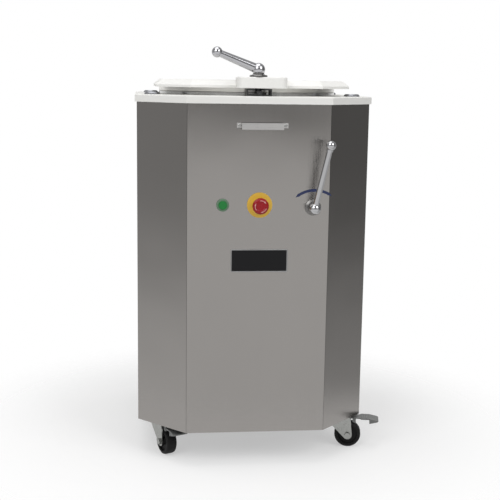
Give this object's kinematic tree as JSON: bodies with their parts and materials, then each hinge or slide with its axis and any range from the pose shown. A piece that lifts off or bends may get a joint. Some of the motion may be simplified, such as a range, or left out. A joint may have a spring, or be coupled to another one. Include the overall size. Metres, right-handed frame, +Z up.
{
  "type": "hydraulic dough divider",
  "caption": "Floor-standing hydraulic dough divider: stainless cabinet on casters, white table with a round dough pan, hinged locking lid, lifting press pads and knives, valve lever, buttons.",
  "frame": {"origin": "on the floor, under the middle of the cabinet's plan", "axes": "+X to the operator's right, +Y to the rear, +Z up; the operator stands on the -Y side"},
  "size_m": [0.6507, 0.7395, 1.0513],
  "materials": {
    "brushed_stainless": "satin brushed sheet",
    "polished_stainless": "polished",
    "white_enamel": "gloss white enamel",
    "white_casting": "gloss white enamel on cast aluminium",
    "turned_aluminium": "turned",
    "black_steel": "black",
    "chrome_lever": "polished chrome",
    "bright_steel": "ground",
    "knife_steel": "ground blade",
    "pad_plastic": "white food-grade plastic",
    "white_hinge": "white enamel",
    "frame_paint": "grey",
    "hydraulic_block": "phosphated",
    "box_plastic": "grey plastic",
    "black_plastic": "matte black",
    "start_bezel": "satin dark green",
    "start_green": "gloss",
    "stop_yellow": "gloss",
    "stop_stem": "matte",
    "stop_red": "gloss",
    "caster_zinc": "zinc plated",
    "caster_black": "black moulded",
    "pedal_grey": "grey"
  },
  "bodies": {
    "cabinet": {"left_side_panel": "brushed_stainless", "right_side_panel": "brushed_stainless", "front_panel": "brushed_stainless", "rear_panel": "brushed_stainless", "front_pull": "polished_stainless", "pan": "polished_stainless", "column_caps": "polished_stainless", "table_top": "white_enamel", "lock_keeper": "black_steel", "valve_escutcheon": "black_steel", "lid_hinge_pin": "bright_steel", "tie_columns": "bright_steel", "hydraulic_pipes": "bright_steel", "lid_hinge_brackets": "white_hinge", "base_frame": "frame_paint", "oil_tank": "frame_paint", "oil_tank_cover": "frame_paint", "motor": "frame_paint", "motor_fan_cowl": "frame_paint", "cylinder_barrel": "hydraulic_block", "cylinder_gland": "hydraulic_block", "gear_pump": "hydraulic_block", "control_valve": "hydraulic_block", "electrical_box": "box_plastic", "cable_gland": "black_plastic", "oil_filler_cap": "black_plastic", "start_button_body": "start_bezel", "estop_collar": "stop_yellow", "caster_plates": "caster_zinc"},
    "lid": {"lid_slab": "white_casting", "lid_press_disc": "turned_aluminium", "lock_block": "white_casting", "lid_hinge_arms": "white_hinge", "lock_flange": "polished_stainless"},
    "lid_lock": {"lock_lever": "chrome_lever", "lock_shaft": "bright_steel"},
    "valve_handle": {"valve_lever": "chrome_lever", "valve_shaft": "bright_steel"},
    "start_button": {"start_button_cap": "start_green"},
    "estop_plunger": {"estop_stem": "stop_stem"},
    "estop_mushroom": {"estop_head": "stop_red"},
    "press": {"press_pads": "pad_plastic", "press_posts": "bright_steel", "press_plate": "turned_aluminium", "press_ram": "bright_steel"},
    "knives": {"knife_ring": "knife_steel", "knife_blades": "knife_steel", "knife_legs": "bright_steel", "knife_carrier": "frame_paint", "knife_ram": "bright_steel"},
    "fork_front_left": {"caster_fork_front_left": "caster_zinc"},
    "wheel_front_left": {"caster_wheel_front_left": "caster_black"},
    "fork_front_right": {"caster_fork_front_right": "caster_zinc"},
    "wheel_front_right": {"caster_wheel_front_right": "caster_black"},
    "fork_rear_left": {"caster_fork_rear_left": "caster_zinc"},
    "wheel_rear_left": {"caster_wheel_rear_left": "caster_black"},
    "fork_rear_right": {"caster_fork_rear_right": "caster_zinc"},
    "wheel_rear_right": {"caster_wheel_rear_right": "caster_black"},
    "pedal_front_left": {"brake_pedal_front_left": "pedal_grey"},
    "pedal_front_right": {"brake_pedal_front_right": "pedal_grey"}
  },
  "joints": [
    {"name": "lid_hinge", "type": "hinge", "parent": "cabinet", "child": "lid", "pos_m": [0, 0.283, 0.956], "axis": [-1, 0, 0], "range_deg": [0, 95]},
    {"name": "lid_lock_turn", "type": "hinge", "parent": "lid", "child": "lid_lock", "pos_m": [0, -0.274, 0.99], "axis": [0, 0, 1], "range_deg": [0, 90]},
    {"name": "valve_lever_turn", "type": "hinge", "parent": "cabinet", "child": "valve_handle", "pos_m": [0.1346, -0.345, 0.666], "axis": [0, -1, 0], "range_deg": [-25, 45]},
    {"name": "start_push", "type": "slide", "parent": "cabinet", "child": "start_button", "axis": [0, 1, 0], "range_m": [0, 0.003], "stiffness_N_per_m": 600, "springref_m": -0.002},
    {"name": "estop_push", "type": "slide", "parent": "cabinet", "child": "estop_plunger", "axis": [0, 1, 0], "range_m": [0, 0.005]},
    {"name": "estop_twist", "type": "hinge", "parent": "estop_plunger", "child": "estop_mushroom", "pos_m": [0.0025, -0.335, 0.6715], "axis": [0, -1, 0], "range_deg": [-45, 0]},
    {"name": "press_lift", "type": "slide", "parent": "cabinet", "child": "press", "axis": [0, 0, 1], "range_m": [0, 0.11]},
    {"name": "knife_lift", "type": "slide", "parent": "cabinet", "child": "knives", "axis": [0, 0, 1], "range_m": [0, 0.11]},
    {"name": "swivel_front_left", "type": "hinge", "parent": "cabinet", "child": "fork_front_left", "pos_m": [-0.235, -0.177, 0.08], "axis": [0, 0, 1], "continuous": true},
    {"name": "roll_front_left", "type": "hinge", "parent": "fork_front_left", "child": "wheel_front_left", "pos_m": [-0.22105, -0.20691, 0.035], "axis": [0.9063, 0.4226, 0], "continuous": true},
    {"name": "swivel_front_right", "type": "hinge", "parent": "cabinet", "child": "fork_front_right", "pos_m": [0.235, -0.177, 0.08], "axis": [0, 0, 1], "continuous": true},
    {"name": "roll_front_right", "type": "hinge", "parent": "fork_front_right", "child": "wheel_front_right", "pos_m": [0.26728, -0.18386, 0.035], "axis": [0.2079, 0.9781, 0], "continuous": true},
    {"name": "swivel_rear_left", "type": "hinge", "parent": "cabinet", "child": "fork_rear_left", "pos_m": [-0.235, 0.24, 0.08], "axis": [0, 0, 1], "continuous": true},
    {"name": "roll_rear_left", "type": "hinge", "parent": "fork_rear_left", "child": "wheel_rear_left", "pos_m": [-0.24354, 0.20812, 0.035], "axis": [0.9659, -0.2588, 0], "continuous": true},
    {"name": "swivel_rear_right", "type": "hinge", "parent": "cabinet", "child": "fork_rear_right", "pos_m": [0.235, 0.24, 0.08], "axis": [0, 0, 1], "continuous": true},
    {"name": "roll_rear_right", "type": "hinge", "parent": "fork_rear_right", "child": "wheel_rear_right", "pos_m": [0.24073, 0.2075, 0.035], "axis": [0.9848, 0.1736, 0], "continuous": true},
    {"name": "brake_front_left", "type": "hinge", "parent": "fork_front_left", "child": "pedal_front_left", "pos_m": [-0.21979, -0.20963, 0.078], "axis": [0.9063, 0.4226, 0], "range_deg": [0, 10]},
    {"name": "brake_front_right", "type": "hinge", "parent": "fork_front_right", "child": "pedal_front_right", "pos_m": [0.27021, -0.18449, 0.078], "axis": [0.2079, 0.9781, 0], "range_deg": [0, 10]}
  ]
}
